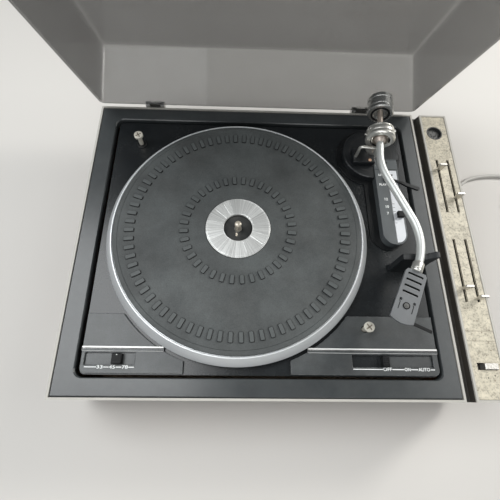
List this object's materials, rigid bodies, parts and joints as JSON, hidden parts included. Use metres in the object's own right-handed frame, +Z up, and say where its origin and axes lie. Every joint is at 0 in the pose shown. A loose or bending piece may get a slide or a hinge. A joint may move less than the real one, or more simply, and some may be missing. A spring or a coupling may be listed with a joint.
{
  "type": "record player",
  "caption": "Record player with idler drive, S-shaped tonearm with lift, slider controls beside the deck and a hinged clear dust cover.",
  "frame": {"origin": "on the surface it stands on, under the middle of the player's box without its cord", "axes": "+Z up through the platter, +Y from the levers at the front to the hinges at the back, +X towards the control plate"},
  "size_m": [0.7343, 0.4401, 0.4677],
  "materials": {
    "cabinet": "satin dark veneer",
    "base_board": "plain dark board",
    "feet": "matt black rubber",
    "surround": "fine-grained black moulding, dusty",
    "silver_edge": "worn silver edging",
    "control_tray": "black moulding",
    "control_plate": "champagne plate, speckled with tarnish",
    "headphone_socket": "black moulding",
    "slider_knobs": "silver grey with a bright top edge",
    "mains_lever": "brushed silver",
    "deck_plate": "black textured paint, dusty",
    "left_panel": "fine-grained dark grey",
    "right_panel": "fine-grained dark grey",
    "chrome_strips": "bright strip with a grey band",
    "speed_lever": "black moulding",
    "start_lever": "black moulding",
    "transit_screws": "plated, slightly dull",
    "screw_grommet": "plated ring",
    "platter": "turned, with a bright lip",
    "mat": "dark grey ribbed rubber",
    "label_disc": "spun, with radial gleam",
    "spindle": "polished pin",
    "motor": "plated can",
    "motor_pulley": "turned",
    "idler_wheel": "rubber tyre",
    "idler_arm": "pressed steel",
    "arm_base_plate": "black, glossy",
    "arm_turret": "black moulding",
    "lift_bracket": "black moulding with a copper-coloured screw",
    "lift_rod": "plated rod",
    "side_module": "dark grey with fine white marks",
    "module_plate": "brushed silver",
    "bias_slider": "black moulding",
    "cue_lever": "black moulding",
    "arm_gimbal": "black housing with a bright front rim",
    "arm_pivot_block": "turned",
    "arm_tube": "bright plated tube",
    "arm_collar": "satin silver",
    "counterweight": "black coated weight",
    "headshell": "black moulding",
    "cartridge": "black moulding",
    "arm_rest": "black moulding",
    "dust_cover": "smoked clear acrylic",
    "hinges": "plated steel",
    "amplifier_board": "circuit board",
    "transformer": "laminated core",
    "cord_gland": "soft moulding",
    "mains_cord": "light grey sheath",
    "mains_plug": "moulded plug"
  },
  "bodies": {
    "body": {"cabinet": "cabinet", "base_board": "base_board", "foot_1": "feet", "foot_2": "feet", "foot_3": "feet", "foot_4": "feet", "surround": "surround", "surround_trim": "silver_edge", "control_tray": "control_tray", "control_plate": "control_plate", "control_trim": "silver_edge", "headphone_socket": "headphone_socket", "deck_plate": "deck_plate", "left_panel": "left_panel", "right_panel": "right_panel", "left_strip": "chrome_strips", "right_strip": "chrome_strips", "left_transit_screw": "transit_screws", "right_transit_screw": "transit_screws", "screw_grommet": "screw_grommet", "spindle": "spindle", "motor": "motor", "idler_arm": "idler_arm", "arm_base_plate": "arm_base_plate", "arm_turret": "arm_turret", "lift_bracket": "lift_bracket", "side_module": "side_module", "module_plate": "module_plate", "arm_rest": "arm_rest", "amplifier_board": "amplifier_board", "transformer": "transformer", "left_hinge": "hinges", "right_hinge": "hinges", "cord_gland": "cord_gland", "mains_cord": "mains_cord", "mains_cord_coil": "mains_cord", "mains_plug": "mains_plug"},
    "platter": {"platter": "platter", "mat": "mat", "label_disc": "label_disc"},
    "idler": {"idler_wheel": "idler_wheel"},
    "rotor": {"motor_pulley": "motor_pulley"},
    "speed_lever": {"speed_lever": "speed_lever"},
    "start_lever": {"start_lever": "start_lever"},
    "arm_yoke": {"arm_gimbal": "arm_gimbal"},
    "tonearm": {"arm_pivot_block": "arm_pivot_block", "arm_tube": "arm_tube", "arm_collar": "arm_collar", "headshell": "headshell", "cartridge": "cartridge"},
    "counterweight": {"counterweight": "counterweight"},
    "cue_lever": {"cue_lever": "cue_lever"},
    "lift_rod": {"lift_rod": "lift_rod"},
    "bias_slider": {"bias_slider": "bias_slider"},
    "slider_1": {"slider_knob_1": "slider_knobs"},
    "slider_2": {"slider_knob_2": "slider_knobs"},
    "slider_3": {"slider_knob_3": "slider_knobs"},
    "slider_4": {"slider_knob_4": "slider_knobs"},
    "mains_lever": {"mains_lever": "mains_lever"},
    "cover": {"dust_cover": "dust_cover"}
  },
  "joints": [
    {"name": "platter_spin", "type": "hinge", "parent": "body", "child": "platter", "pos_m": [-0.0473, -0.03728, 0.1], "axis": [0, 0, 1], "continuous": true},
    {"name": "idler_spin", "type": "hinge", "parent": "body", "child": "idler", "pos_m": [-0.11194, -0.1296, 0.106], "axis": [0, 0, 1], "continuous": true},
    {"name": "rotor_spin", "type": "hinge", "parent": "body", "child": "rotor", "pos_m": [-0.11603, -0.10642, 0.1], "axis": [0, 0, 1], "continuous": true},
    {"name": "speed_slide", "type": "slide", "parent": "body", "child": "speed_lever", "axis": [1, 0, 0], "range_m": [-0.018, 0.0075]},
    {"name": "start_slide", "type": "slide", "parent": "body", "child": "start_lever", "axis": [1, 0, 0], "range_m": [0, 0.038]},
    {"name": "arm_swing", "type": "hinge", "parent": "body", "child": "arm_yoke", "pos_m": [0.1172, 0.07372, 0.141], "axis": [0, 0, -1], "range_deg": [0, 38]},
    {"name": "arm_pitch", "type": "hinge", "parent": "arm_yoke", "child": "tonearm", "pos_m": [0.1172, 0.07372, 0.141], "axis": [-0.9914, 0.1305, 0], "range_deg": [0, 6.5]},
    {"name": "weight_slide", "type": "slide", "parent": "tonearm", "child": "counterweight", "axis": [-0.1305, -0.9914, 0], "range_m": [-0.004, 0.004]},
    {"name": "cue_swing", "type": "hinge", "parent": "body", "child": "cue_lever", "pos_m": [0.1337, 0.03572, 0.111], "axis": [0, 0, 1], "range_deg": [0, 35]},
    {"name": "lift_rock", "type": "hinge", "parent": "body", "child": "lift_rod", "pos_m": [0.0952, 0.06322, 0.113], "axis": [0, -1, 0], "range_deg": [0, 3.5]},
    {"name": "bias_slide", "type": "slide", "parent": "body", "child": "bias_slider", "axis": [0, 1, 0], "range_m": [0, 0.018]},
    {"name": "slider_1_slide", "type": "slide", "parent": "body", "child": "slider_1", "axis": [0, 1, 0], "range_m": [-0.059, 0.0135]},
    {"name": "slider_2_slide", "type": "slide", "parent": "body", "child": "slider_2", "axis": [0, 1, 0], "range_m": [-0.018, 0.0545]},
    {"name": "slider_3_slide", "type": "slide", "parent": "body", "child": "slider_3", "axis": [0, 1, 0], "range_m": [-0.0137, 0.059]},
    {"name": "slider_4_slide", "type": "slide", "parent": "body", "child": "slider_4", "axis": [0, 1, 0], "range_m": [-0.0027, 0.07]},
    {"name": "mains_slide", "type": "slide", "parent": "body", "child": "mains_lever", "axis": [1, 0, 0], "range_m": [-0.0066, 0]},
    {"name": "cover_hinge", "type": "hinge", "parent": "body", "child": "cover", "pos_m": [-0.02315, 0.14722, 0.103], "axis": [1, 0, 0], "range_deg": [0, 70]}
  ],
  "couplings": [
    {"joint": "idler_spin", "follows": "platter_spin", "ratio": 6.947},
    {"joint": "rotor_spin", "follows": "platter_spin", "ratio": -31.132},
    {"joint": "arm_pitch", "follows": "cue_swing", "ratio": 0.1857},
    {"joint": "lift_rock", "follows": "cue_swing", "ratio": 0.1}
  ]
}
